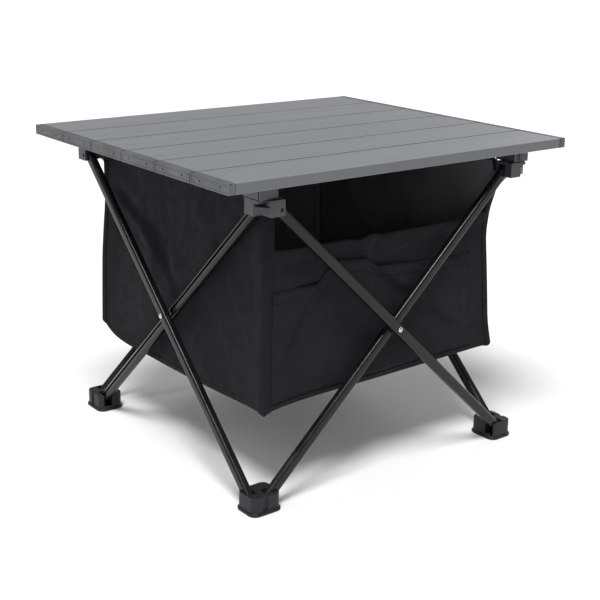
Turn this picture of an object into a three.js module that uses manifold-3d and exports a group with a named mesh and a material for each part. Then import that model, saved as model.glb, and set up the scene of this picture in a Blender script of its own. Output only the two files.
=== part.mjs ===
// Folding camp kitchen table: a roll-up top of six aluminium slats, clipped onto a square
// scissor frame, with a fabric basket hung inside the legs.
// Millimetres. Origin on the floor under the table's centre, +X along the slats, +Y to the
// back, +Z up. The frame repeats every quarter turn about Z, so one side of it is built and
// turned four times. Sides run front, right, back, left; corner k starts side k.

import * as THREE from "three";
import { mergeVertices } from "three/addons/utils/BufferGeometryUtils.js";
import Module from "manifold-3d";

// Tabletop
const TOP_LENGTH = 400;
const TOP_DEPTH = 345;
const TOP_HEIGHT = 308;
const SLAT_COUNT = 6;
const SLAT_THICKNESS = 9.5;
const SLAT_GAP = 1.8;
const SLAT_WALL = 1.2;
const SLAT_CORNER = 0.6;
const CAP_LENGTH = 7;
const CAP_PLUG = 8;
const CAP_GAP = 0.9;
const CAP_RIM = 1.5; // border left around the shallow panel in a cap's end
const CAP_PANEL_DEPTH = 0.5;
const CAP_HOLE = 0.9;
const CAP_HOLE_DEPTH = 1.6;
const CAP_HOLE_SPREAD = 15;
const CAP_NOTCH = 1.8; // small steps in a cap's upper corners
const FIT = 0.3; // clearance left between pieces that touch

// Scissor frame: pins stand PIN_SPAN from each side's middle, on the leg planes' offsets
const PIN_SPAN = 141;
const FOOT_PIN_Z = 12;
const HUB_PIN_Z = 278;
const OUTER_PLANE = 157;
const INNER_PLANE = 148;
const LEG_WIDTH = 10;
const LEG_THICKNESS = 8;
const LEG_WALL = 1.2;
const LEG_EDGE = 2.8;
const PIN_RADIUS = 1.4;
const PIN_HOLE = 1.8;

// Hub and foot mouldings
const SLOT_HALF = LEG_THICKNESS / 2 + 0.45;
const CHEEK = 2.6;
const SWEEP = LEG_WIDTH / 2 + 0.9; // room for a leg's round end to turn
const HUB_BOTTOM = 272.5;
const HUB_TOP = 287;
const HUB_PLATE = 3;
const HUB_INBOARD = PIN_SPAN - 3.6;
const HUB_OUTBOARD = 161;
const SOCKET_END = PIN_SPAN + 11;
const BAR_Z = [275, 281]; // the bar across the hub's outer corner
const TONGUE_OFFSET = 149.5;
const TONGUE_HEIGHT = 4;
const FOOT_HEIGHT = 17.6;
const FOOT_X = [-163.6, -132.8];
const FOOT_Y = [-157.4, -130.8];
const FOOT_CORNER = 6;
const FOOT_FLANGE = 1.5;
const FOOT_FLANGE_HEIGHT = 2.6;
const FOOT_FLOOR = 5;
const FOOT_GROOVE = 4.4;
const FOOT_GROOVE_DEPTH = 1.6;

// Corner clips under the first and last slats
const CLIP_X = [142, 161];
const CLIP_Y = [135, 160];
const CLIP_POCKET = 13;
const CLIP_POCKET_DEPTH = 6;
const CLIP_GROOVE = 1.3;
const CLIP_GROOVE_DEPTH = 2.4;
const BUTTON_WIDTH = 4.2;
const BUTTON_HEIGHT = 7;
const BUTTON_LENGTH = 4.6;
const BUTTON_Z = 292.6;
const BUTTON_X = 149.5;
const COLLAR_WIDTH = 1.6;
const COLLAR_PROUD = 1;
const BUTTON_PROUD = 1.6;

// Basket
const BASKET_HALF = 139.8;
const CLOTH = 1.2;
const BASKET_BOTTOM = 92;
const BASKET_FRONT_TOP = 236;
const BASKET_SIDE_TOP = 292;
const POCKET_HALF = 136;
const POCKET_BOTTOM = 94;
const POCKET_TOP = 205;

const SIDES = ["front", "right", "back", "left"];
const CORNERS = ["front_left", "front_right", "back_right", "back_left"];

const LEG_SPAN = Math.hypot(2 * PIN_SPAN, HUB_PIN_Z - FOOT_PIN_Z);
const LEG_LEAN = Math.atan2(2 * PIN_SPAN, HUB_PIN_Z - FOOT_PIN_Z);
const SLAT_PITCH = TOP_DEPTH / SLAT_COUNT;
const SLAT_WIDTH = SLAT_PITCH - SLAT_GAP;
const CELL_WIDTH = (SLAT_WIDTH - 4 * SLAT_WALL) / 3;
const UNDERSIDE = TOP_HEIGHT - SLAT_THICKNESS;
const SLAT_END = TOP_LENGTH / 2 - CAP_LENGTH;

const X = new THREE.Vector3(1, 0, 0);
const Y = new THREE.Vector3(0, 1, 0);
const Z = new THREE.Vector3(0, 0, 1);

const wasm = await Module();
wasm.setup();

function solidFrom(geometry) {
  const bare = geometry.clone();
  bare.deleteAttribute("normal");
  bare.deleteAttribute("uv");
  const merged = mergeVertices(bare, 1e-3);
  return new wasm.Manifold(
    new wasm.Mesh({
      numProp: 3,
      vertProperties: merged.attributes.position.array,
      triVerts: new Uint32Array(merged.index.array),
    }),
  );
}

function geometryFrom(solid) {
  const mesh = solid.getMesh();
  return new THREE.BufferGeometry()
    .setAttribute("position", new THREE.BufferAttribute(mesh.vertProperties, 3))
    .setIndex(new THREE.BufferAttribute(mesh.triVerts, 1));
}

// A box between two values on each axis, in either order
function block(x, y, z) {
  const size = [x, y, z].map(([a, b]) => Math.abs(b - a));
  const middle = [x, y, z].map(([a, b]) => (a + b) / 2);
  return solidFrom(new THREE.BoxGeometry(...size).translate(...middle));
}

// An outline about the origin, each corner a quarter round of the given number of steps
function roundedRectangle(width, height, radius, steps = 3) {
  const points = [];
  for (let corner = 0; corner < 4; corner += 1) {
    const signX = corner === 0 || corner === 3 ? 1 : -1;
    const signY = corner < 2 ? 1 : -1;
    for (let step = 0; step <= steps; step += 1) {
      const angle = ((corner + step / steps) * Math.PI) / 2;
      points.push(
        new THREE.Vector2(
          signX * (width / 2 - radius) + radius * Math.cos(angle),
          signY * (height / 2 - radius) + radius * Math.sin(angle),
        ),
      );
    }
  }
  return new THREE.Shape(points);
}

// Extrudes an outline between two places on an axis. The outline's own axes lie along the
// next two axes in X, Y, Z order.
function prism(shape, axis, from, to) {
  const bases = { x: [Y, Z, X], y: [Z, X, Y], z: [X, Y, Z] };
  return new THREE.ExtrudeGeometry(shape, { depth: to - from, bevelEnabled: false })
    .translate(0, 0, from)
    .applyMatrix4(new THREE.Matrix4().makeBasis(...bases[axis]));
}

// A round bar along X or Y from one place to another, through a point given on the other axes
function bar(axis, radius, from, to, across, z, sides = 12) {
  const rod = new THREE.CylinderGeometry(radius, radius, to - from, sides);
  rod.translate(0, (from + to) / 2, 0);
  if (axis === "x") rod.rotateZ(-Math.PI / 2);
  return axis === "x" ? rod.translate(0, across, z) : rod.translate(across, 0, z);
}

const table = new THREE.Group();

function add(parent, name, geometry, look) {
  const mesh = new THREE.Mesh(geometry, new THREE.MeshStandardMaterial(look));
  mesh.name = name;
  parent.add(mesh);
  return mesh;
}

const ALUMINIUM = { color: 0x55575c, roughness: 0.42, metalness: 0.75 };
const LEG_PAINT = { color: 0x0d0d0f, roughness: 0.22, metalness: 0.4 };
const PLASTIC = { color: 0x26272a, roughness: 0.6, metalness: 0 };
const RUBBER = { color: 0x202124, roughness: 0.8, metalness: 0 };
const STEEL = { color: 0xc9cbd0, roughness: 0.25, metalness: 1 };
const PIN_STEEL = { color: 0x2b2c2f, roughness: 0.4, metalness: 1 };
const CLOTH_LOOK = { color: 0x17171a, roughness: 0.9, metalness: 0 };

// ---- Tabletop -------------------------------------------------------------------------

function slatGeometry() {
  const outline = roundedRectangle(SLAT_WIDTH, SLAT_THICKNESS, SLAT_CORNER, 2);
  let slat = solidFrom(prism(outline, "x", -SLAT_END, SLAT_END));
  const half = SLAT_THICKNESS / 2 - SLAT_WALL;
  for (const step of [-1, 0, 1]) {
    const middle = step * (CELL_WIDTH + SLAT_WALL);
    const cell = block(
      [-SLAT_END - 1, SLAT_END + 1],
      [middle - CELL_WIDTH / 2, middle + CELL_WIDTH / 2],
      [-half, half],
    );
    slat = slat.subtract(cell);
  }
  return geometryFrom(slat);
}

// A cap on the +X end: a plate the slat's own height, with three plugs inside its cells. Its
// end has a shallow panel with two small holes, and its upper corners are notched.
function capGeometry() {
  const inner = SLAT_END + FIT;
  const outer = TOP_LENGTH / 2;
  const width = SLAT_PITCH - CAP_GAP;
  const outline = roundedRectangle(width, SLAT_THICKNESS, SLAT_CORNER, 2);
  const panel = block(
    [outer - CAP_PANEL_DEPTH, outer + 1],
    [CAP_RIM - width / 2, width / 2 - CAP_RIM],
    [CAP_RIM - SLAT_THICKNESS / 2, SLAT_THICKNESS / 2 - CAP_RIM],
  );
  const plugHalf = CELL_WIDTH / 2 - FIT;
  const plugHeight = SLAT_THICKNESS / 2 - SLAT_WALL - FIT;
  let cap = solidFrom(prism(outline, "x", inner, outer)).subtract(panel);
  for (const side of [-1, 1]) {
    const hole = bar("x", CAP_HOLE, outer - CAP_HOLE_DEPTH, outer, side * CAP_HOLE_SPREAD, 0, 10);
    const notch = block(
      [outer - 2 * CAP_NOTCH, outer - CAP_NOTCH],
      [side * (width / 2 - CAP_NOTCH), side * (width / 2 + 1)],
      [SLAT_THICKNESS / 2 - CAP_NOTCH / 2, SLAT_THICKNESS],
    );
    cap = cap.subtract(solidFrom(hole)).subtract(notch);
  }
  for (const step of [-1, 0, 1]) {
    const middle = step * (CELL_WIDTH + SLAT_WALL);
    const plug = block(
      [SLAT_END - CAP_PLUG, inner + 1],
      [middle - plugHalf, middle + plugHalf],
      [-plugHeight, plugHeight],
    );
    cap = cap.add(plug);
  }
  return geometryFrom(cap);
}

// A clip is a block with a pocket for the hub's tongue. signs places it in its corner, and a
// latching clip has a window in its outer face with a raised collar, for its button.
function clipGeometry(signX, signY, latching) {
  const spanX = CLIP_X.map((value) => signX * value);
  const spanY = CLIP_Y.map((value) => signY * value);
  const bottom = HUB_TOP + FIT;
  const half = CLIP_POCKET / 2;
  const centreX = signX * TONGUE_OFFSET;
  const centreY = signY * TONGUE_OFFSET;
  const face = CLIP_Y[1];
  const grooveY = face - COLLAR_WIDTH;
  let clip = block(spanX, spanY, [bottom, UNDERSIDE - FIT]);
  if (latching) {
    const place = [signX, signY];
    const collar = 2 * COLLAR_WIDTH;
    const room = 2 * FIT;
    clip = clip
      .add(window(BUTTON_WIDTH + collar, BUTTON_HEIGHT + collar, place, face - 1, face + COLLAR_PROUD))
      .subtract(window(BUTTON_WIDTH + room, BUTTON_HEIGHT + room, place, CLIP_Y[0], face + 2));
  }
  const groove = block(
    [signX * (CLIP_X[1] - CLIP_GROOVE_DEPTH), signX * (CLIP_X[1] + 1)],
    [signY * grooveY, signY * (grooveY - CLIP_GROOVE)],
    [bottom - 1, UNDERSIDE],
  );
  const pocket = block(
    [centreX - half, centreX + half],
    [centreY - half, centreY + half],
    [bottom - 1, bottom + CLIP_POCKET_DEPTH],
  );
  return geometryFrom(clip.subtract(groove).subtract(pocket));
}

// An upright oval bar along Y in a corner, on the button's centre line
function window(width, height, [signX, signY], from, to) {
  const oval = roundedRectangle(height, width, width / 2 - 0.01, 4);
  const ends = [signY * from, signY * to].sort((a, b) => a - b);
  return solidFrom(prism(oval, "y", ...ends).translate(signX * BUTTON_X, 0, BUTTON_Z));
}

function addTop() {
  const slat = slatGeometry();
  const cap = capGeometry();
  const middleZ = TOP_HEIGHT - SLAT_THICKNESS / 2;
  for (let index = 0; index < SLAT_COUNT; index += 1) {
    const row = new THREE.Group();
    row.position.set(0, (index + 0.5) * SLAT_PITCH - TOP_DEPTH / 2, middleZ);
    table.add(row);
    add(row, `slat_${index + 1}`, slat, ALUMINIUM);
    add(row, `cap_${index + 1}_right`, cap, PLASTIC);
    add(row, `cap_${index + 1}_left`, cap, PLASTIC).rotation.z = Math.PI;
  }
  for (const [cornerName, signX, signY, latching] of [
    ["front_left", -1, -1, false],
    ["front_right", 1, -1, true],
    ["back_right", 1, 1, false],
    ["back_left", -1, 1, true],
  ]) {
    add(table, `clip_${cornerName}`, clipGeometry(signX, signY, latching), PLASTIC);
    if (!latching) continue;
    const outer = CLIP_Y[1] + BUTTON_PROUD;
    const place = [signX, signY];
    const button = window(BUTTON_WIDTH, BUTTON_HEIGHT, place, outer - BUTTON_LENGTH, outer);
    add(table, `button_${cornerName}`, geometryFrom(button), RUBBER);
  }
}

// ---- Scissor frame --------------------------------------------------------------------

// A leg lies along X from its foot pin at 0 to its hub pin, its width upright
function legGeometry() {
  const end = LEG_WIDTH / 2;
  const section = roundedRectangle(LEG_THICKNESS, LEG_WIDTH, LEG_EDGE);
  const bore = roundedRectangle(
    LEG_THICKNESS - 2 * LEG_WALL,
    LEG_WIDTH - 2 * LEG_WALL,
    LEG_EDGE - LEG_WALL,
    2,
  );
  const outline = roundedRectangle(LEG_WIDTH, LEG_SPAN + 2 * end, end - 0.01, 5);
  let leg = solidFrom(prism(section, "x", -end - 1, LEG_SPAN + end + 1));
  const trim = prism(outline, "y", -LEG_THICKNESS, LEG_THICKNESS).translate(LEG_SPAN / 2, 0, 0);
  leg = leg.intersect(solidFrom(trim));
  leg = leg.subtract(solidFrom(prism(bore, "x", -2 * end, LEG_SPAN + 2 * end)));
  for (const place of [0, LEG_SPAN / 2, LEG_SPAN]) {
    leg = leg.subtract(
      solidFrom(bar("y", PIN_HOLE, -LEG_THICKNESS, LEG_THICKNESS, place, 0, 10)),
    );
  }
  return geometryFrom(leg);
}

// The rivet through a side's two legs, with a washer collar between them, turned about Y
function rivetGeometry() {
  const outside = -(OUTER_PLANE + LEG_THICKNESS / 2 + FIT);
  const inside = -(INNER_PLANE - LEG_THICKNESS / 2 - FIT);
  const between = -(OUTER_PLANE + INNER_PLANE) / 2;
  const headRadius = 2.7;
  const collarRadius = 4;
  const headHeight = 1.3;
  const profile = [
    [0, outside - headHeight],
    [headRadius * 0.6, outside - headHeight * 0.85],
    [headRadius, outside - headHeight * 0.25],
    [headRadius, outside],
    [PIN_RADIUS, outside],
    [PIN_RADIUS, between - 0.2],
    [collarRadius, between - 0.2],
    [collarRadius, between + 0.2],
    [PIN_RADIUS, between + 0.2],
    [PIN_RADIUS, inside],
    [headRadius, inside],
    [headRadius * 0.8, inside + 1],
    [0, inside + 1.2],
  ];
  return new THREE.LatheGeometry(
    profile.map(([radius, y]) => new THREE.Vector2(radius, y)),
    14,
  );
}

// A pin through a leg on the given plane
function pinAcross(axis, plane, half, z) {
  return bar(axis, PIN_RADIUS, -plane - half, -plane + half, -PIN_SPAN, z);
}

// Corner 0's hub: an outer socket for the front side's outer leg, an inner socket for the
// left side's inner leg, a bar across the corner, and a tongue that enters the clip
function hubGeometry() {
  const outerFace = OUTER_PLANE + SLOT_HALF + CHEEK;
  const web = OUTER_PLANE - SLOT_HALF - CHEEK;
  const plateBottom = HUB_TOP - HUB_PLATE;
  const slotEnd = -(PIN_SPAN + SWEEP);
  const open = -PIN_SPAN + 2 * SWEEP;
  const innerInside = INNER_PLANE - SLOT_HALF - CHEEK;
  const slotZ = [HUB_BOTTOM - 1, plateBottom];
  const outerSocket = block([-SOCKET_END, -HUB_INBOARD], [-outerFace, -web], [HUB_BOTTOM, HUB_TOP]);
  const innerSocket = block(
    [-HUB_OUTBOARD, -innerInside],
    [-web - 1, -HUB_INBOARD],
    [HUB_BOTTOM, HUB_TOP],
  );
  const plate = block(
    [-HUB_OUTBOARD, -innerInside],
    [-OUTER_PLANE, -HUB_INBOARD],
    [plateBottom, HUB_TOP],
  );
  const gusset = new THREE.Shape([
    new THREE.Vector2(-HUB_OUTBOARD, -web),
    new THREE.Vector2(-SOCKET_END, -outerFace + CHEEK / 2),
    new THREE.Vector2(-web + 1, -web + 1),
  ]);
  const tongue = new THREE.CylinderGeometry(4.2, 6.2, TONGUE_HEIGHT, 4)
    .rotateX(Math.PI / 2)
    .rotateZ(Math.PI / 4)
    .translate(-TONGUE_OFFSET, -TONGUE_OFFSET, HUB_TOP + TONGUE_HEIGHT / 2 - 0.2);
  const outerSlot = block(
    [slotEnd, open],
    [-OUTER_PLANE - SLOT_HALF, -OUTER_PLANE + SLOT_HALF],
    slotZ,
  );
  const innerSlot = block(
    [-INNER_PLANE - SLOT_HALF, -INNER_PLANE + SLOT_HALF],
    [slotEnd, open],
    slotZ,
  );
  const outerHole = bar("y", PIN_HOLE, -outerFace - 1, -web - CHEEK / 4, -PIN_SPAN, HUB_PIN_Z);
  const innerReach = -INNER_PLANE - SLOT_HALF - CHEEK;
  const innerHole = bar("x", PIN_HOLE, innerReach, -innerInside - CHEEK / 4, -PIN_SPAN, HUB_PIN_Z);
  return geometryFrom(
    outerSocket
      .add(innerSocket)
      .add(plate)
      .add(solidFrom(prism(gusset, "z", ...BAR_Z)))
      .add(solidFrom(tongue))
      .subtract(outerSlot)
      .subtract(innerSlot)
      .subtract(solidFrom(outerHole))
      .subtract(solidFrom(innerHole)),
  );
}

// Corner 0's foot: a flanged block with a slot for the front side's inner leg and one for the
// left side's outer leg, each crossed by a pin moulded into it, and a groove in two faces
function footGeometry() {
  const width = FOOT_X[1] - FOOT_X[0];
  const depth = FOOT_Y[1] - FOOT_Y[0];
  const middle = [(FOOT_X[0] + FOOT_X[1]) / 2, (FOOT_Y[0] + FOOT_Y[1]) / 2, 0];
  const slotZ = [FOOT_FLOOR, FOOT_HEIGHT + 1];
  const grooveZ = [FOOT_FLANGE_HEIGHT, FOOT_HEIGHT + 1];
  const open = -PIN_SPAN + 4 * SWEEP;
  const skirtCorner = FOOT_CORNER + FOOT_FLANGE;
  const body = roundedRectangle(width, depth, FOOT_CORNER, 4);
  const skirt = roundedRectangle(width + 2 * FOOT_FLANGE, depth + 2 * FOOT_FLANGE, skirtCorner, 4);
  const outerSlot = block(
    [-OUTER_PLANE - SLOT_HALF, -OUTER_PLANE + SLOT_HALF],
    [-PIN_SPAN - SWEEP, open],
    slotZ,
  );
  const innerSlot = block(
    [-PIN_SPAN - SWEEP, open],
    [-INNER_PLANE - SLOT_HALF, -INNER_PLANE + SLOT_HALF],
    slotZ,
  );
  const frontGroove = block(
    [-OUTER_PLANE + SLOT_HALF, -OUTER_PLANE + SLOT_HALF + FOOT_GROOVE],
    [FOOT_Y[0] - 1, FOOT_Y[0] + FOOT_GROOVE_DEPTH],
    grooveZ,
  );
  const pinHalf = SLOT_HALF + 1;
  const outerPin = pinAcross("x", OUTER_PLANE, pinHalf, FOOT_PIN_Z);
  const innerPin = pinAcross("y", INNER_PLANE, pinHalf, FOOT_PIN_Z);
  return geometryFrom(
    solidFrom(prism(body, "z", FOOT_FLANGE_HEIGHT / 2, FOOT_HEIGHT))
      .add(solidFrom(prism(skirt, "z", 0, FOOT_FLANGE_HEIGHT)))
      .translate(middle)
      .subtract(outerSlot)
      .subtract(innerSlot)
      .subtract(frontGroove)
      .add(solidFrom(outerPin))
      .add(solidFrom(innerPin)),
  );
}

function addFrame() {
  const leg = legGeometry();
  const rivet = rivetGeometry();
  const hub = hubGeometry();
  const foot = footGeometry();
  const pinHalf = SLOT_HALF + CHEEK / 2;
  const outerPin = pinAcross("y", OUTER_PLANE, pinHalf, HUB_PIN_Z);
  const innerPin = pinAcross("x", INNER_PLANE, pinHalf, HUB_PIN_Z);
  SIDES.forEach((side, index) => {
    const corner = CORNERS[index];
    const quarter = new THREE.Group();
    quarter.rotation.z = (index * Math.PI) / 2;
    table.add(quarter);
    const inner = add(quarter, `leg_${side}_inner`, leg, LEG_PAINT);
    inner.position.set(-PIN_SPAN, -INNER_PLANE, FOOT_PIN_Z);
    inner.rotation.y = LEG_LEAN - Math.PI / 2;
    const outer = add(quarter, `leg_${side}_outer`, leg, LEG_PAINT);
    outer.position.set(PIN_SPAN, -OUTER_PLANE, FOOT_PIN_Z);
    outer.rotation.y = -LEG_LEAN - Math.PI / 2;
    const centre = add(quarter, `rivet_${side}`, rivet, STEEL);
    centre.position.z = (FOOT_PIN_Z + HUB_PIN_Z) / 2;
    add(quarter, `hub_${corner}`, hub, PLASTIC);
    add(quarter, `foot_${corner}`, foot, RUBBER);
    add(quarter, `pin_${corner}_outer`, outerPin, PIN_STEEL);
    add(quarter, `pin_${corner}_inner`, innerPin, PIN_STEEL);
  });
}

// ---- Basket ---------------------------------------------------------------------------

function addPanel(name, x, y, z) {
  add(table, name, geometryFrom(block(x, y, z)), CLOTH_LOOK);
}

function addBasket() {
  const inside = BASKET_HALF - CLOTH;
  const floorHalf = inside - FIT;
  const width = [-BASKET_HALF, BASKET_HALF];
  const between = [-floorHalf, floorHalf];
  const sideZ = [BASKET_BOTTOM, BASKET_SIDE_TOP];
  const floorZ = [BASKET_BOTTOM, BASKET_BOTTOM + CLOTH];
  const pocketY = [-BASKET_HALF - FIT - CLOTH, -BASKET_HALF - FIT];
  addPanel("basket_front", width, [-BASKET_HALF, -inside], [BASKET_BOTTOM, BASKET_FRONT_TOP]);
  addPanel("basket_back", width, [inside, BASKET_HALF], sideZ);
  addPanel("basket_left", [-BASKET_HALF, -inside], between, sideZ);
  addPanel("basket_right", [inside, BASKET_HALF], between, sideZ);
  addPanel("basket_floor_front", between, [-floorHalf, -FIT / 2], floorZ);
  addPanel("basket_floor_back", between, [FIT / 2, floorHalf], floorZ);
  addPanel("basket_pocket", [-POCKET_HALF, POCKET_HALF], pocketY, [POCKET_BOTTOM, POCKET_TOP]);
}

addTop();
addFrame();
addBasket();

export default table;
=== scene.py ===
"""Looks of the camp kitchen table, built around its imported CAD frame.

Metres, +Z up. The front of the table faces -Y and its slats run along X.
"""

import math

import bpy
import numpy as np
from mathutils import Matrix, Vector, noise


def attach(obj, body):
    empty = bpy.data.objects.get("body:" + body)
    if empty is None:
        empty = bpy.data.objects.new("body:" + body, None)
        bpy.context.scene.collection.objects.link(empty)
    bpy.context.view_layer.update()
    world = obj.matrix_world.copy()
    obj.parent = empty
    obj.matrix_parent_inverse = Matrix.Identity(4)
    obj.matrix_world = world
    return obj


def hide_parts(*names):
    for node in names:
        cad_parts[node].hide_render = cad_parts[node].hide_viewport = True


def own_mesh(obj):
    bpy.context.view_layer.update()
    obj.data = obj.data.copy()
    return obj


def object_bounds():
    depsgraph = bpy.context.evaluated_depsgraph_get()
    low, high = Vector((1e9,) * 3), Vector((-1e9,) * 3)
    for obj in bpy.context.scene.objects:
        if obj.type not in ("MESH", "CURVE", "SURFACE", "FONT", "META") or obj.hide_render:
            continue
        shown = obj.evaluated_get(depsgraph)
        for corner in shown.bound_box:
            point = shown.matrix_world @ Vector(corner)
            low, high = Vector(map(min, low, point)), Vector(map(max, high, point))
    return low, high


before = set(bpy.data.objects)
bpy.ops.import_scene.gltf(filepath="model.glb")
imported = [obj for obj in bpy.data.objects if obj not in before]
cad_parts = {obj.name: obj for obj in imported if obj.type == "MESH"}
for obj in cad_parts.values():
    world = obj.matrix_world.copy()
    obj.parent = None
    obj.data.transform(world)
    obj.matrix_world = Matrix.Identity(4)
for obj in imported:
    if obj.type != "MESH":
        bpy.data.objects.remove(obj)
cad_low, cad_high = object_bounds()

UP = Vector((0, 0, 1))
MM = 0.001

# ---------------------------------------------------------------- camera, light and floor

CAMERA_PLACE = (-0.72519, -0.94575, 0.50888)
CAMERA_HEADING = -38.1
CAMERA_PITCH = 15.28
CAMERA_ROLL = 1.03
CAMERA_LENS = 72.54
CAMERA_SHIFT = (-0.0146, -0.0797)
SKY_STRENGTH = 0.34
FLOOR_SIDE = 60.0
SENSOR_WIDTH = 36
VIEW_END = 200
TABLE_MIDDLE = (0, 0, 0.2)
STRIP = {"shape": "RECTANGLE", "size": 0.3, "size_y": 1.6}


def add_camera():
    data = bpy.data.cameras.new("camera")
    data.lens = CAMERA_LENS
    data.sensor_width = SENSOR_WIDTH
    data.shift_x, data.shift_y = CAMERA_SHIFT
    data.clip_end = VIEW_END
    camera = bpy.data.objects.new("camera", data)
    turn = Matrix.Rotation(math.radians(CAMERA_HEADING), 4, "Z")
    tilt = Matrix.Rotation(math.radians(90 - CAMERA_PITCH), 4, "X")
    roll = Matrix.Rotation(math.radians(CAMERA_ROLL), 4, "Z")
    camera.matrix_world = Matrix.Translation(CAMERA_PLACE) @ turn @ tilt @ roll
    bpy.context.scene.collection.objects.link(camera)
    bpy.context.scene.camera = camera


def add_light(kind, name, place, target, energy, **settings):
    data = bpy.data.lights.new(name, kind)
    data.energy = energy
    for key, value in settings.items():
        setattr(data, key, value)
    light = bpy.data.objects.new(name, data)
    light.location = place
    light.rotation_euler = (Vector(target) - Vector(place)).to_track_quat("-Z", "Y").to_euler()
    bpy.context.scene.collection.objects.link(light)


def add_studio():
    world = bpy.data.worlds.new("studio")
    world.use_nodes = True
    sky = world.node_tree.nodes["Background"]
    sky.inputs["Color"].default_value = (1, 1, 1, 1)
    sky.inputs["Strength"].default_value = SKY_STRENGTH
    bpy.context.scene.world = world
    table = TABLE_MIDDLE
    add_light("SUN", "key", (-1.0, -0.9, 3.1), table, 3.1, angle=math.radians(22))
    add_light("AREA", "front_box", (-1.3, -2.0, 0.7), table, 4, size=0.8)
    add_light("AREA", "left_strip", (-1.5, 0.7, 1.5), table, 5, **STRIP)
    add_light("AREA", "right_strip", (1.6, 0.8, 1.5), table, 5, **STRIP)
    half = FLOOR_SIDE / 2
    mesh = bpy.data.meshes.new("floor")
    ring = [(-half, -half), (half, -half), (half, half), (-half, half)]
    mesh.from_pydata([(x, y, cad_low.z) for x, y in ring], [], [(0, 1, 2, 3)])
    floor = bpy.data.objects.new("floor", mesh)
    bpy.context.scene.collection.objects.link(floor)
    paper = Surface("floor_paper", base=(0.86, 0.86, 0.865), rough=0.8)
    paper.vary_colour(paper.noise((3, 3, 3), 2), (0.85, 0.85, 0.855), (0.88, 0.88, 0.885))
    mesh.materials.append(paper.material)
    bpy.context.scene.view_settings.view_transform = "Standard"


# ---------------------------------------------------------------- materials


# Colour of the painted shade in narrow gaps and corners.
GAP_SHADE_COLOUR = (0.006, 0.006, 0.007)


class Surface:
    """A Principled material, with short calls for the node patterns that it carries."""

    def __init__(self, name, base, rough, metal=0.0, **sockets):
        self.material = bpy.data.materials.new(name)
        self.material.use_nodes = True
        self.tree = self.material.node_tree
        self.shader = self.tree.nodes["Principled BSDF"]
        self.shader.inputs["Base Color"].default_value = (*base, 1)
        self.shader.inputs["Roughness"].default_value = rough
        self.shader.inputs["Metallic"].default_value = metal
        for socket, value in sockets.items():
            label = socket.replace("_", " ").title().replace("Ior", "IOR")
            self.shader.inputs[label].default_value = value
        self.tint = None
        self.height = None

    def node(self, kind, inputs, **settings):
        made = self.tree.nodes.new("ShaderNode" + kind)
        for key, value in settings.items():
            setattr(made, key, value)
        for socket, value in inputs.items():
            if isinstance(value, bpy.types.NodeSocket):
                self.tree.links.new(value, made.inputs[socket])
            else:
                made.inputs[socket].default_value = value
        return made

    def place(self, scale):
        """The row frame's own coordinates, stretched by scale along X, Y and Z."""
        coordinates = self.node("TexCoord", {})
        scaled = self.node("Mapping", {"Vector": coordinates.outputs["Object"], "Scale": scale})
        return scaled.outputs["Vector"]

    def noise(self, scale, detail=3.0, roughness=0.55):
        where = self.place(scale)
        inputs = {"Vector": where, "Scale": 1.0, "Detail": detail, "Roughness": roughness}
        return self.node("TexNoise", inputs).outputs["Fac"]

    def spread(self, value, low, high, start=0.0, end=1.0):
        inputs = {0: value, 1: start, 2: end, 3: low, 4: high}
        return self.node("MapRange", inputs).outputs[0]

    def math(self, operation, a, b):
        return self.node("Math", {0: a, 1: b}, operation=operation).outputs[0]

    def mix(self, factor, a, b):
        inputs = {0: factor, 6: a if isinstance(a, bpy.types.NodeSocket) else (*a, 1)}
        inputs[7] = b if isinstance(b, bpy.types.NodeSocket) else (*b, 1)
        return self.node("Mix", inputs, data_type="RGBA").outputs[2]

    def vary_colour(self, value, dark, light, start=0.3, end=0.7):
        self.colour(self.mix(self.spread(value, 0.0, 1.0, start, end), dark, light))

    def colour(self, socket):
        self.tree.links.new(socket, self.shader.inputs["Base Color"])
        self.tint = socket

    def vary_rough(self, value, low, high, start=0.3, end=0.7):
        spread = self.spread(value, low, high, start, end)
        self.tree.links.new(spread, self.shader.inputs["Roughness"])

    def bump(self, value, strength, distance):
        inputs = {"Height": value, "Strength": strength, "Distance": distance}
        if self.height is not None:
            inputs["Normal"] = self.height
        self.height = self.node("Bump", inputs).outputs["Normal"]
        self.tree.links.new(self.height, self.shader.inputs["Normal"])

    def paint_gap_shade(self, distance, amount, shut=0.25, clear=0.85):
        """Paints shade into narrow gaps and corners, darker where ambient occlusion finds them closed in:
        fully below the open share shut, and not above clear.
        """
        open_share = self.node("AmbientOcclusion", {"Distance": distance}, samples=8).outputs["AO"]
        shade = self.spread(open_share, amount, 0.0, shut, clear)
        self.colour(self.mix(shade, self.tint, GAP_SHADE_COLOUR))

    def wear(self, colour, radius, amount, grain=260):
        """Rubbed edges: where a rounded normal differs from the true one, colour shows through."""
        rounded = self.node("Bevel", {"Radius": radius}, samples=4).outputs["Normal"]
        true = self.node("NewGeometry", {}).outputs["Normal"]
        compare = self.node("VectorMath", {0: rounded, 1: true}, operation="DOT_PRODUCT")
        edge = self.spread(compare.outputs["Value"], amount, 0.0, 0.80, 0.99)
        speckle = self.spread(self.noise((grain,) * 3, 4), 0.0, 1.0, 0.42, 0.62)
        broken = self.math("MULTIPLY", edge, speckle)
        self.colour(self.mix(broken, self.tint, colour))


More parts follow.
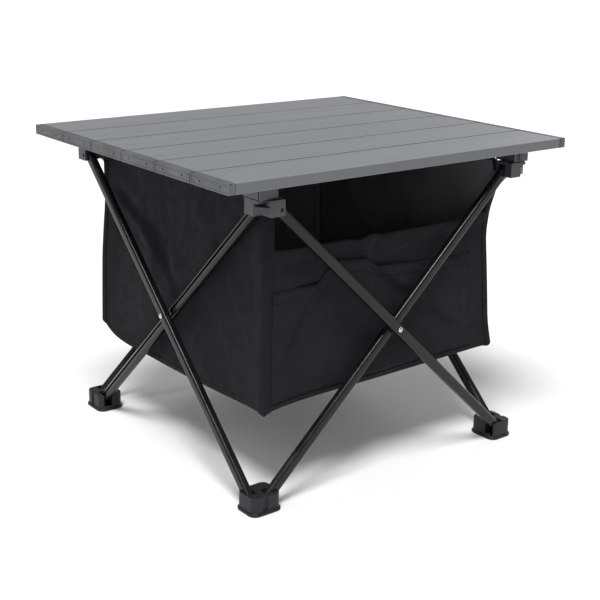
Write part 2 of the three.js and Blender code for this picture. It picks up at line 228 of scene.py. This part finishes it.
def brushed_aluminium():
    """Slats brushed along X on their broad faces. Their narrow sides get a darker colour as painted
    shade.
    """
    s = Surface("brushed_aluminium", (0.22, 0.23, 0.25), 0.42, 0.35)
    lines = s.noise((5, 1300, 1300), 4, 0.7)
    smudge = s.noise((9, 14, 14), 3)
    s.vary_colour(lines, (0.195, 0.203, 0.221), (0.275, 0.285, 0.306), 0.36, 0.64)
    s.vary_rough(smudge, 0.40, 0.50)
    s.bump(lines, 0.3, 0.00012)
    # Painted shade: faces that don't face up or down get a darker colour.
    normal = s.node("TexCoord", {}).outputs["Normal"]
    facing = s.node("SeparateXYZ", {"Vector": normal}).outputs["Z"]
    side = s.spread(s.math("ABSOLUTE", facing, 0.0), 1.0, 0.0, 0.2, 0.7)
    s.colour(s.mix(side, s.tint, (0.135, 0.140, 0.152)))
    s.wear((0.40, 0.41, 0.43), 0.0004, 0.4)
    # Painted shade in the gaps between the slats and in corners.
    s.paint_gap_shade(0.007, 0.97, 0.50, 0.98)
    return s.material


def moulded(
    name, dark, light, rough, grain=1500, bump=0.25, worn=(0.16, 0.16, 0.17), gloss=0.5, gaps=(0.003, 0.6)
):
    """Matte moulded plastic with a fine spark-eroded grain. gaps is what its painted shade in gaps and
    corners takes.
    """
    s = Surface(name, light, rough, specular_ior_level=gloss)
    fine = s.noise((grain,) * 3, 2)
    s.vary_colour(s.noise((34, 34, 34), 4), dark, light)
    s.vary_rough(fine, rough - 0.07, rough + 0.09)
    s.bump(fine, bump, 0.00012)
    s.wear(worn, 0.0005, 0.35)
    # Painted shade in gaps and corners.
    s.paint_gap_shade(*gaps)
    return s.material


def gloss_enamel():
    s = Surface("gloss_enamel", (0.006, 0.006, 0.007), 0.2, specular_ior_level=0.32)
    s.vary_colour(s.noise((30, 30, 30), 3), (0.0035, 0.0035, 0.004), (0.008, 0.008, 0.009))
    s.vary_rough(s.noise((60, 60, 60), 4), 0.16, 0.28)
    s.bump(s.noise((900, 900, 900), 2), 0.06, 0.00006)
    s.wear((0.05, 0.05, 0.055), 0.0003, 0.25)
    return s.material


def black_steel():
    s = Surface("black_steel", (0.05, 0.05, 0.053), 0.42, 0.8)
    s.vary_colour(s.noise((260, 260, 260), 3), (0.030, 0.030, 0.032), (0.060, 0.060, 0.064))
    s.vary_rough(s.noise((400, 400, 400), 3), 0.34, 0.52)
    s.bump(s.noise((1100, 1100, 1100), 2), 0.12, 0.00006)
    s.wear((0.22, 0.22, 0.23), 0.0003, 0.4)
    return s.material


def bright_steel():
    s = Surface("bright_steel", (0.62, 0.62, 0.63), 0.25, 1.0)
    s.vary_colour(s.noise((300, 300, 300), 3), (0.50, 0.50, 0.51), (0.70, 0.70, 0.71))
    s.vary_rough(s.noise((500, 500, 500), 3), 0.18, 0.34)
    s.bump(s.noise((1200, 1200, 1200), 2), 0.12, 0.00006)
    s.wear((0.85, 0.85, 0.86), 0.0003, 0.5)
    return s.material


YARN = 0.00062
CLOTH_DARK = (0.0130, 0.0126, 0.0146)
CLOTH_LIGHT = (0.0158, 0.0153, 0.0178)
TAPE_DARK = (0.0110, 0.0107, 0.0122)
TAPE_LIGHT = (0.0140, 0.0136, 0.0156)
SHEEN_TINT = (0.62, 0.60, 0.70, 1)


def woven(name, plane, dark=CLOTH_DARK, light=CLOTH_LIGHT, crush=0.4):
    """Plain-weave polyester. plane names the two axes that its yarns run along, such as "XZ"."""
    gloss = {"sheen_weight": 0.01, "sheen_roughness": 0.45, "specular_ior_level": 0.08}
    s = Surface(name, light, 0.72, **gloss)
    s.shader.inputs["Sheen Tint"].default_value = SHEEN_TINT
    parts = s.node("SeparateXYZ", {"Vector": s.place((1, 1, 1))})
    waves = []
    for axis in plane:
        angle = s.math("MULTIPLY", parts.outputs[axis], math.pi / YARN)
        waves.append(s.math("SINE", angle, 0.0))
    weave = s.spread(s.math("MULTIPLY", waves[0], waves[1]), 0.0, 1.0, -1.0, 1.0)
    slub = s.noise((420, 420, 420), 2)
    cloth = s.mix(s.spread(s.noise((16, 16, 16), 4), 0.0, 1.0, 0.3, 0.7), dark, light)
    shade = s.mix(s.math("MULTIPLY", weave, 0.30), cloth, tuple(c * 0.45 for c in dark))
    s.colour(s.mix(s.spread(slub, 0.0, 0.28, 0.45, 0.75), shade, tuple(c * 1.5 for c in light)))
    s.vary_rough(s.noise((80, 80, 80), 3), 0.62, 0.82)
    s.bump(s.noise((130, 130, 130), 4, 0.6), crush, 0.0006)
    s.bump(weave, 0.35, 0.00018)
    return s.material


def coating():
    """The dull waterproof film on the cloth's inner side."""
    s = Surface("cloth_coating", (0.11, 0.11, 0.114), 0.6)
    s.vary_colour(s.noise((24, 24, 24), 4), (0.10, 0.10, 0.104), (0.12, 0.12, 0.125))
    s.vary_rough(s.noise((90, 90, 90), 3), 0.52, 0.72)
    s.bump(s.noise((600, 600, 600), 3), 0.25, 0.0001)
    return s.material


def dress_frame():
    """Gives each CAD node its material and soft edges, by the slot that the record names for it.

    Each finish is a material and the width of its edges' rounding, in millimetres.
    """
    # Stronger painted shade for the caps' gaps and corners.
    deep_gaps = (0.005, 0.95, 0.45, 0.97)
    cap = moulded("cap_plastic", (0.066, 0.068, 0.073), (0.108, 0.111, 0.118), 0.50, gaps=deep_gaps)
    clip = moulded("clip_plastic", (0.040, 0.041, 0.044), (0.060, 0.061, 0.066), 0.42)
    hub = moulded("hub_plastic", (0.030, 0.031, 0.034), (0.050, 0.052, 0.056), 0.38)
    foot = moulded("foot_plastic", (0.010, 0.010, 0.012), (0.017, 0.017, 0.020), 0.45, gloss=0.3)
    button = moulded("button_plastic", (0.020, 0.020, 0.022), (0.032, 0.032, 0.035), 0.38)
    finishes = {
        "aluminium": (brushed_aluminium(), 0.30),
        "cap_plastic": (cap, 0.25),
        "clip_plastic": (clip, 0.35),
        "hub_plastic": (hub, 0.35),
        "foot_plastic": (foot, 0.6),
        "button": (button, 0.25),
        "leg_enamel": (gloss_enamel(), 0.2),
        "steel": (bright_steel(), 0.12),
        "pin_steel": (black_steel(), 0.12),
    }
    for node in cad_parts.values():
        name = node.material_slots[0].name
        if name not in finishes:
            continue
        material, edge = finishes[name]
        node.material_slots[0].material = material
        soften(node, edge * MM)


def soften(node, width):
    """Rounds a CAD node's sharp edges with modifiers; its own mesh isn't touched."""
    custom = node.data.attributes.get("custom_normal")
    if custom:
        node.data.attributes.remove(custom)
    for polygon in node.data.polygons:
        polygon.use_smooth = True
    weld = node.modifiers.new("weld", "WELD")
    weld.merge_threshold = 0.00002
    flat = node.modifiers.new("flat", "DECIMATE")
    flat.decimate_type = "DISSOLVE"
    flat.angle_limit = math.radians(0.5)
    round_edges = node.modifiers.new("edges", "BEVEL")
    round_edges.width = width
    round_edges.segments = 2
    round_edges.limit_method = "ANGLE"
    round_edges.angle_limit = math.radians(38)
    round_edges.use_clamp_overlap = False
    even = node.modifiers.new("even", "WEIGHTED_NORMAL")
    even.mode = "FACE_AREA"
    even.weight = 100
    even.keep_sharp = True


# ---------------------------------------------------------------- cloth surfaces

CLOTH = 0.0008  # thickness of the walls, the floor and the pocket
TAPE = 0.0006  # thickness of the corner bindings
TRIM = 0.0004  # thickness of the hems and seams
CURL = 0.0045  # radius of the basket's lower edges and corners
GRID = 0.0025  # spacing of a sheet's points
TURN_ROWS = 6  # rows of points round a wall's lower edge
OUTMOST = 0.1425  # the walls' wrinkles stay inside this, clear of the legs

# Corner profiles, read from the photo: (height, distance from the middle).
LEFT_REACH = (
    (0.085, 0.1462),
    (0.120, 0.1458),
    (0.170, 0.1448),
    (0.202, 0.1432),
    (0.226, 0.1416),
    (0.250, 0.1416),
    (0.270, 0.1417),
)
RIGHT_REACH = (
    (0.085, 0.1445),
    (0.100, 0.1428),
    (0.120, 0.1402),
    (0.170, 0.1378),
    (0.213, 0.1354),
    (0.240, 0.1372),
    (0.258, 0.1412),
    (0.270, 0.1417),
)


def smooth(value):
    value = min(1.0, max(0.0, value))
    return value * value * (3 - 2 * value)


def ramp(value, start, end):
    return smooth((value - start) / (end - start))


def corner_reach(z, profile):
    """How far a basket corner stands from the middle at z, from a profile of (height, reach) points."""
    heights, reaches = zip(*profile)
    return float(np.mean(np.interp([z + step * MM for step in (-9, -5, -2, 2, 5, 9)], heights, reaches)))


class Fold:
    """A crease in a wall between two points of it: a ridge of some height that tilts the cloth."""

    def __init__(self, start, end, width, ridge, tilt=0.0):
        self.start = Vector(start)
        self.along = Vector(end) - self.start
        self.length = self.along.length
        self.along.normalize()
        self.width = width
        self.ridge = ridge
        self.tilt = tilt

    def at(self, u, z):
        offset = Vector((u, z)) - self.start
        run = offset.dot(self.along) / self.length
        if run < -0.3 or run > 1.3:
            return 0.0
        side = (offset.x * self.along.y - offset.y * self.along.x) / self.width
        fade = ramp(run, -0.25, 0.15) * (1 - ramp(run, 0.6, 1.25))
        return fade * math.exp(-side * side) * (self.ridge + self.tilt * side)


class Wall:
    """One side of the basket. s runs from -1 to 1 across it, and z is a height in the row frame.

    The cloth turns under the basket over its last CURL of height, down to low(s).
    """

    def __init__(self, across, outward, ends, middle, low, high, folds, seed, slack):
        self.across = Vector(across)
        self.ends = ends
        self.outward = Vector(outward)
        self.middle = middle
        self.low = low
        self.high = high
        self.folds = folds
        self.seed = seed
        self.slack = slack

    def wrinkle(self, u, z):
        """Soft drapes and small creases of the hanging cloth, in metres out of its plane."""
        sway = noise.noise(Vector((u * 9, z * 9, self.seed)))
        broad = noise.noise(Vector((u * 15 + sway, z * 7, self.seed + 4.0)))
        drape = noise.noise(Vector((u * 34 + 1.6 * sway, z * 11, self.seed + 9.0)))
        small = noise.noise(Vector((u * 70 + 2 * sway, z * 58, self.seed + 17.0)))
        sharp = 0.5 - abs(drape)
        waves = 2.4 * broad + 1.3 * sharp + 0.35 * small
        return self.slack * waves * MM + sum(fold.at(u, z) for fold in self.folds)

    def reach(self, s, z):
        near, far = (corner_reach(z, profile) for profile in self.ends)
        return near + (far - near) * (1 + s) / 2

    def at(self, s, z, push=0.0):
        floor = self.low(s)
        reach = self.reach(s, max(z, floor))
        drop = min(1.0, max(0.0, (floor + CURL - z) / CURL))
        turn = math.asin(drop)
        u = s * (reach - CURL)
        bow = abs(s) ** 5
        middle = min(self.middle, reach)
        hold = (1 - abs(s) ** 10) * (1 - drop)
        depth = middle + (reach - middle) * bow
        depth += hold * min(self.wrinkle(u, z), max(0.0, OUTMOST - middle))
        depth += push * math.cos(turn) - CURL * (1 - math.cos(turn))
        return self.across * u + self.outward * depth + UP * (max(z, floor) - push * math.sin(turn))


def sheet_mesh(name, grid, thickness, materials, flip):
    """A closed thin sheet around a grid of points. The second material is its inner side."""
    points = np.array([[tuple(p) for p in row] for row in grid], float)
    rows, columns = points.shape[:2]
    normal = np.cross(np.gradient(points, axis=1), np.gradient(points, axis=0))
    if flip:
        normal = -normal
    normal /= np.maximum(np.linalg.norm(normal, axis=2, keepdims=True), 1e-12)
    vertices = np.concatenate([points + normal * thickness / 2, points - normal * thickness / 2])
    vertices = vertices.reshape(-1, 3)
    index = np.arange(rows * columns).reshape(rows, columns)
    inner = index + rows * columns
    faces = []
    slots = []
    for r in range(rows - 1):
        for c in range(columns - 1):
            quad = [index[r, c], index[r, c + 1], index[r + 1, c + 1], index[r + 1, c]]
            back = [i + rows * columns for i in reversed(quad)]
            faces += [quad, back]
            slots += [0, 1]
    ring = [(0, c) for c in range(columns - 1)]
    ring += [(r, columns - 1) for r in range(rows - 1)]
    ring += [(rows - 1, c) for c in range(columns - 1, 0, -1)]
    ring += [(r, 0) for r in range(rows - 1, 0, -1)]
    for here, there in zip(ring, ring[1:] + ring[:1]):
        faces.append([index[there], index[here], inner[here], inner[there]])
        slots.append(0)
    if flip:
        faces = [face[::-1] for face in faces]
    mesh = bpy.data.meshes.new(name)
    mesh.from_pydata(vertices.tolist(), [], [[int(i) for i in face] for face in faces])
    for material in materials:
        mesh.materials.append(material)
    last = len(materials) - 1
    for polygon, slot_number in zip(mesh.polygons, slots):
        polygon.material_index = min(slot_number, last)
        polygon.use_smooth = True
    mesh.validate()
    piece = bpy.data.objects.new(name, mesh)
    bpy.context.scene.collection.objects.link(piece)
    return piece


def span(start, end, step):
    count = max(2, round(abs(end - start) / step))
    return [start + (end - start) * i / count for i in range(count + 1)]


# ---------------------------------------------------------------- the basket's walls

FRONT_EDGE = 0.2345  # height of the front wall's edge
SIDE_EDGE = 0.2960  # height of the other walls' edges
HUB_EDGE = 0.2710  # the bindings end under the hubs
CLIP_EDGE = 0.2858  # the tall walls' ends stop under the clips
POCKET_EDGE = 0.1985
POCKET_LEFT = -0.1330
POCKET_RIGHT = 0.1120
WALL_SPAN = 0.1370  # half a wall's width


def front_low(s):
    return 0.0885 + 0.0075 * ((1 + s) / 2) ** 4 + 0.001 * (1 - s * s)


def left_low(s):
    return 0.0800 + 0.0085 * ((1 - s) / 2) ** 4 + 0.017 * ((1 + s) / 2) ** 20


def right_low(s):
    return 0.0830 + 0.0130 * ((1 - s) / 2) ** 6 + 0.012 * ((1 + s) / 2) ** 12


def back_low(s):
    return 0.0850 + 0.0120 * ((1 - s) / 2) ** 10 + 0.010 * ((1 + s) / 2) ** 8


def front_high(s):
    crumple = 0.0022 * math.exp(-(((s + 0.14) / 0.05) ** 2))
    crumple -= 0.0016 * math.exp(-(((s + 0.27) / 0.04) ** 2))
    return FRONT_EDGE - 0.0025 * (1 - s * s) + 0.004 * abs(s) ** 12 + crumple


def side_high(s):
    """The tall walls reach the tabletop, but for their ends, which stop under the clips."""
    notch = (SIDE_EDGE - CLIP_EDGE) * ramp(abs(s), 0.966, 0.982)
    return SIDE_EDGE - 0.0008 * math.cos(9 * s) - notch


FRONT_FOLDS = [
    Fold((-0.041, 0.234), (-0.022, 0.208), 0.0050, 0.0, -0.0034),
    Fold((-0.014, 0.236), (-0.022, 0.204), 0.0050, 0.0010, 0.0036),
    Fold((-0.030, 0.236), (-0.026, 0.216), 0.0040, 0.0022, 0.0),
    Fold((-0.004, 0.230), (0.024, 0.212), 0.0070, 0.0016, 0.0022),
    Fold((0.100, 0.230), (0.000, 0.210), 0.0110, -0.0010, 0.0032),
    Fold((-0.125, 0.214), (-0.060, 0.222), 0.0120, -0.0012, 0.0026),
]
LEFT_FOLDS = [
    Fold((-0.130, 0.250), (0.090, 0.090), 0.034, 0.0, -0.0085),
    Fold((0.122, 0.243), (0.048, 0.210), 0.008, 0.0, -0.0042),
    Fold((0.060, 0.222), (0.002, 0.158), 0.011, 0.0, -0.0042),
    Fold((-0.036, 0.243), (-0.100, 0.226), 0.008, 0.0, 0.0040),
    Fold((-0.120, 0.250), (-0.060, 0.190), 0.015, -0.0018, 0.0014),
    Fold((0.110, 0.200), (0.125, 0.120), 0.010, -0.0016, 0.0010),
]
RIGHT_FOLDS = [
    Fold((-0.118, 0.250), (-0.030, 0.180), 0.013, -0.0010, 0.0022),
    Fold((0.120, 0.255), (0.040, 0.170), 0.012, -0.0014, -0.0018),
]
BACK_FOLDS = [
    Fold((-0.120, 0.255), (-0.020, 0.165), 0.014, -0.0010, 0.0022),
    Fold((0.118, 0.250), (0.050, 0.150), 0.012, -0.0012, -0.0020),
    Fold((0.010, 0.262), (0.000, 0.180), 0.010, -0.0010, 0.0012),
]

BOTH = (LEFT_REACH, RIGHT_REACH)
LEFTS = (LEFT_REACH, LEFT_REACH)
RIGHTS = (RIGHT_REACH, RIGHT_REACH)
X, Y = (1, 0, 0), (0, 1, 0)
WALLS = {
    "front": Wall(X, (0, -1, 0), BOTH, 0.1372, front_low, front_high, FRONT_FOLDS, 3.1, 0.7),
    "left": Wall(Y, (-1, 0, 0), LEFTS, 0.1395, left_low, side_high, LEFT_FOLDS, 12.7, 0.9),
    "right": Wall(Y, (1, 0, 0), RIGHTS, 0.1385, right_low, side_high, RIGHT_FOLDS, 25.3, 0.8),
    "back": Wall(X, (0, 1, 0), BOTH, 0.1390, back_low, side_high, BACK_FOLDS, 38.9, 0.8),
}
WALL_BODY = {
    "front": "hub_front_left",
    "left": "hub_front_left",
    "right": "hub_front_right",
    "back": "hub_back_left",
}


def flipped(wall):
    return wall.across.cross(UP).dot(wall.outward) < 0


def fix(piece, wall_name):
    """A piece on a wall moves with the wall's hub."""
    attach(piece, WALL_BODY[wall_name])
    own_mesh(piece)
    return piece


def turn_heights(floor, rows):
    """Heights of the rows along the curl under the basket, from the lowest up."""
    return [floor + CURL * (1 - math.sin(a * math.pi / (2 * rows))) for a in range(rows, 0, -1)]


def wall_grid(wall, columns, count):
    """The wall's points, row by row upwards: the curl's rows, then count rows up to the edge."""
    grid = [[] for _ in range(count + TURN_ROWS)]
    for s in columns:
        floor, head = wall.low(s), wall.high(s)
        start = floor + CURL
        zs = turn_heights(floor, TURN_ROWS)
        zs += [start + (head - start) * i / (count - 1) for i in range(count)]
        for row, z in zip(grid, zs):
            row.append(wall.at(s, z))
    return grid


def add_walls(outer, coated):
    for name, wall in WALLS.items():
        columns = span(-1, 1, GRID / WALL_SPAN)
        count = round((wall.high(0) - wall.low(0)) / GRID)
        grid = wall_grid(wall, columns, count)
        piece = sheet_mesh(f"basket_{name}_panel", grid, CLOTH, [outer[name], coated], flipped(wall))
        fix(piece, name)
        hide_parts(f"basket_{name}")
        hem = add_hem(name, wall, columns, outer[name])
        flat = (2 * WALL_SPAN, wall.high(0) - wall.low(0) + CURL)


HEM = 0.011


def add_hem(name, wall, columns, material):
    """The upper edge's hem: a turn of cloth folded over it. loop is drop in m, offset in mm."""
    loop = [(-HEM, 0.75), (-HEM + 0.0012, 0.95), (-0.006, 1.0), (-0.0012, 0.9), (0.0006, 0.35)]
    loop += [(0.0006, -0.35), (-0.0012, -0.9), (-0.006, -1.0), (-HEM, -0.8)]
    grid = []
    for drop, side in loop:
        grid.append([wall.at(s, wall.high(s) + drop, side * MM) for s in columns])
    return fix(sheet_mesh(f"basket_{name}_hem", grid, TRIM, [material], flipped(wall)), name)


def pocket_top(s):
    """The pocket's edge: pulled up left of the middle and slack on either side of it."""
    x = s * WALL_SPAN
    pulled = ramp(x, -0.084, -0.060) * (1 - ramp(x, -0.027, -0.011))
    slack = 0.0045 * math.exp(-(((x + 0.010) / 0.034) ** 2))
    return POCKET_EDGE + (0.0175 - 0.12 * max(0.0, x + 0.060)) * pulled + slack * (1 - pulled)


POCKET_FOLDS = [
    Fold((-0.075, 0.208), (-0.119, 0.141), 0.0060, 0.0, 0.0050),
    Fold((-0.092, 0.195), (-0.141, 0.112), 0.0110, 0.0, 0.0044),
    Fold((-0.019, 0.206), (0.090, 0.128), 0.0060, 0.0, -0.0072),
    Fold((0.010, 0.192), (0.090, 0.118), 0.0140, -0.0014, -0.0016),
    Fold((-0.060, 0.222), (-0.040, 0.160), 0.0240, 0.0026, 0.0),
    Fold((0.106, 0.198), (0.106, 0.100), 0.0060, -0.0008, 0.0020),
    Fold((-0.060, 0.170), (-0.020, 0.110), 0.0200, -0.0024, 0.0030),
    Fold((0.020, 0.150), (0.070, 0.105), 0.0180, -0.0016, -0.0030),
]
POCKET = Wall(X, (0, -1, 0), BOTH, 0.1394, front_low, pocket_top, POCKET_FOLDS, 51.3, 0.7)
POCKET_FOOT = 0.004  # height of the pocket's foot above the front wall's curl
POCKET_LIFT = 1.2 * MM  # the sewn edges' distance from the front wall
POCKET_RIM = 0.7 * MM  # half the thickness of the pocket's turned edge


def add_pocket(material, coated):
    """A patch pocket on the front wall, with its own turned-over edge."""
    columns = span(POCKET_LEFT / WALL_SPAN, POCKET_RIGHT / WALL_SPAN, GRID / WALL_SPAN)
    count = round((POCKET_EDGE - front_low(0)) / GRID)
    grid = [[] for _ in range(count)]
    for s in columns:
        edge = min(ramp(s, columns[0], columns[0] + 0.05), 1 - ramp(s, columns[-1] - 0.05, columns[-1]))
        start = POCKET.low(s) + CURL + POCKET_FOOT
        for i, row in enumerate(grid):
            z = start + (POCKET.high(s) - start) * i / (count - 1)
            sewn = WALLS["front"].at(s, z, POCKET_LIFT)
            row.append(sewn.lerp(POCKET.at(s, z), edge * ramp(i, 0, 6)))
    piece = sheet_mesh("basket_pocket_panel", grid, CLOTH, [material, coated], False)
    fix(piece, "front")
    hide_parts("basket_pocket")
    outside = WALLS["front"].outward * POCKET_RIM
    rim = [[p + outside for p in row] for row in grid[-5:-1]]
    rim += [[p + UP * 0.0005 for p in grid[-1]]]
    rim += [[p - outside for p in row] for row in reversed(grid[-5:-1])]
    hem = fix(sheet_mesh("basket_pocket_hem", rim, TRIM, [material], False), "front")


FLOOR_RIPPLE = 0.0016
FLOOR_SAG = 0.0015


def bottom_edge(wall, s):
    return wall.at(s, wall.low(s))


def add_floor(outer, coated):
    """The basket's floor: a cloth between the walls' lower edges, halved where it folds."""
    corners = {}
    for a in (-1, 1):
        corners[a, -1] = bottom_edge(WALLS["front"], a)
        corners[a, 1] = bottom_edge(WALLS["back"], a)

    def at(s, t):
        a, b = (1 + s) / 2, (1 + t) / 2
        point = bottom_edge(WALLS["front"], s) * (1 - b) + bottom_edge(WALLS["back"], s) * b
        point += bottom_edge(WALLS["left"], t) * (1 - a) + bottom_edge(WALLS["right"], t) * a
        for (i, j), corner in corners.items():
            point -= corner * (a if i > 0 else 1 - a) * (b if j > 0 else 1 - b)
        inside = (1 - s**4) * (1 - t**4)
        ripple = FLOOR_RIPPLE * noise.noise(Vector((s * 2.4, t * 2.4, 71.0)))
        point.z += inside * (ripple - FLOOR_SAG)
        return point

    columns = span(-1, 1, GRID / WALL_SPAN)
    for half, start, end in (("front", -1, 0), ("back", 0, 1)):
        grid = [[at(s, t) for s in columns] for t in span(start, end, GRID / WALL_SPAN)]
        piece = sheet_mesh(f"basket_floor_{half}_panel", grid, CLOTH, [outer, coated], False)
        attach(piece, f"basket_floor_{half}")
        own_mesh(piece)
        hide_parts(f"basket_floor_{half}")


BINDING = 0.0045  # how far the tape laps each wall
BINDING_LIFT = 0.75 * MM  # its distance from the walls
KNOB = 0.0012  # the lump where the tape turns under the floor
BINDING_TURNS = 8  # rows, and columns round the corner


def add_binding(side_x, side_y, material, coated):
    """The tape that binds a corner: it laps both walls and tucks in under the floor."""
    along = WALLS["front" if side_y < 0 else "back"]
    across = WALLS["left" if side_x < 0 else "right"]
    corner = f"{'front' if side_y < 0 else 'back'}_{'left' if side_x < 0 else 'right'}"
    profile = LEFT_REACH if side_x < 0 else RIGHT_REACH
    floor = along.low(side_x)
    lap = BINDING / WALL_SPAN
    push = BINDING_LIFT
    heights = turn_heights(floor, BINDING_TURNS)
    heights += span(floor + CURL, HUB_EDGE, GRID)[1:]
    grid = []
    for z in heights:
        row = [along.at(side_x * (1 - lap * i / 3), z, push) for i in range(3, 0, -1)]
        drop = min(1.0, max(0.0, (floor + CURL - z) / CURL))
        turn = math.asin(drop)
        middle = corner_reach(z, profile) - CURL
        for i in range(BINDING_TURNS + 1):
            angle = math.pi / 2 * i / BINDING_TURNS
            swell = push + KNOB * math.sin(turn) * math.sin(2 * angle)
            radius = (CURL + swell) * math.cos(turn)
            x = side_x * (middle + radius * math.sin(angle))
            y = side_y * (middle + radius * math.cos(angle))
            row.append(Vector((x, y, z - swell * math.sin(turn))))
        row += [across.at(side_y * (1 - lap * i / 3), z, push) for i in range(1, 4)]
        grid.append(row)
    flip = side_x * side_y > 0
    piece = sheet_mesh(f"basket_binding_{corner}", grid, TAPE, [material, coated], flip)
    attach(piece, f"hub_{corner}")
    return piece


SEAM_RISE = 1.6  # height of the seam's middle above the curl, in mm


def add_floor_seam(name, material):
    """A raised seam where the wall turns under the basket. shape is rise and offset, in mm."""
    wall = WALLS[name]
    columns = span(-0.985, 0.985, GRID / WALL_SPAN)
    shape = [(-1.2, 0.25), (-0.8, 0.60), (0.0, 0.75), (0.8, 0.60), (1.2, 0.25)]
    grid = []
    for rise, side in shape:
        lift = (SEAM_RISE + rise) * MM
        grid.append([wall.at(s, wall.low(s) + CURL + lift, side * MM) for s in columns])
    fix(sheet_mesh(f"basket_{name}_seam", grid, TRIM, [material], flipped(wall)), name)


STITCH = 0.0019
STITCH_PITCH = 0.0031
STITCH_SPAN = 0.96  # share of the wall's width that the rows cover
THREAD = 0.00028


def add_stitches(name, wall, wall_name, lines, material):
    """Rows of stitches. Each line gives a row's height at s and its distance from the wall."""
    vertices = []
    faces = []
    for height, push in lines:
        for s in span(-STITCH_SPAN, STITCH_SPAN, STITCH_PITCH / WALL_SPAN):
            half = STITCH / 2 / WALL_SPAN
            a = wall.at(s - half, height(s - half), push)
            b = wall.at(s + half, height(s + half), push)
            middle = (a + b) / 2 + wall.outward * THREAD
            ring = [middle + UP * THREAD, middle + wall.outward * THREAD, middle - UP * THREAD]
            ring.append(middle - wall.outward * 1.6 * THREAD)
            base = len(vertices)
            vertices += [a, b, *ring]
            for i in range(4):
                here, there = base + 2 + i, base + 2 + (i + 1) % 4
                faces += [(base, here, there), (base + 1, there, here)]
    mesh = bpy.data.meshes.new(name)
    mesh.from_pydata([tuple(v) for v in vertices], [], faces)
    mesh.materials.append(material)
    piece = bpy.data.objects.new(name, mesh)
    bpy.context.scene.collection.objects.link(piece)
    fix(piece, wall_name)


def add_basket():
    front = woven("cloth_front", "XZ")
    side = woven("cloth_side", "YZ")
    under = woven("cloth_floor", "XY")
    coated = coating()
    tape = woven("binding_tape", "XZ", TAPE_DARK, TAPE_LIGHT, 0.25)
    worn = (0.03, 0.03, 0.03)
    thread = moulded("thread", (0.012, 0.012, 0.013), (0.024, 0.024, 0.026), 0.6, 2500, 0.3, worn)
    outer = {"front": front, "back": front, "left": side, "right": side}
    add_walls(outer, coated)
    add_pocket(front, coated)
    add_floor(under, coated)
    for side_x in (-1, 1):
        for side_y in (-1, 1):
            add_binding(side_x, side_y, tape, coated)
    for name, wall in WALLS.items():
        add_floor_seam(name, outer[name])
        lines = [
            (lambda s, w=wall: w.high(s) - HEM + 0.0018, 1.15 * MM),
            (lambda s, w=wall: w.low(s) + CURL + 0.0060, 0.45 * MM),
        ]
        add_stitches(f"basket_{name}_stitches", wall, name, lines, thread)


add_camera()
add_studio()
dress_frame()
add_basket()
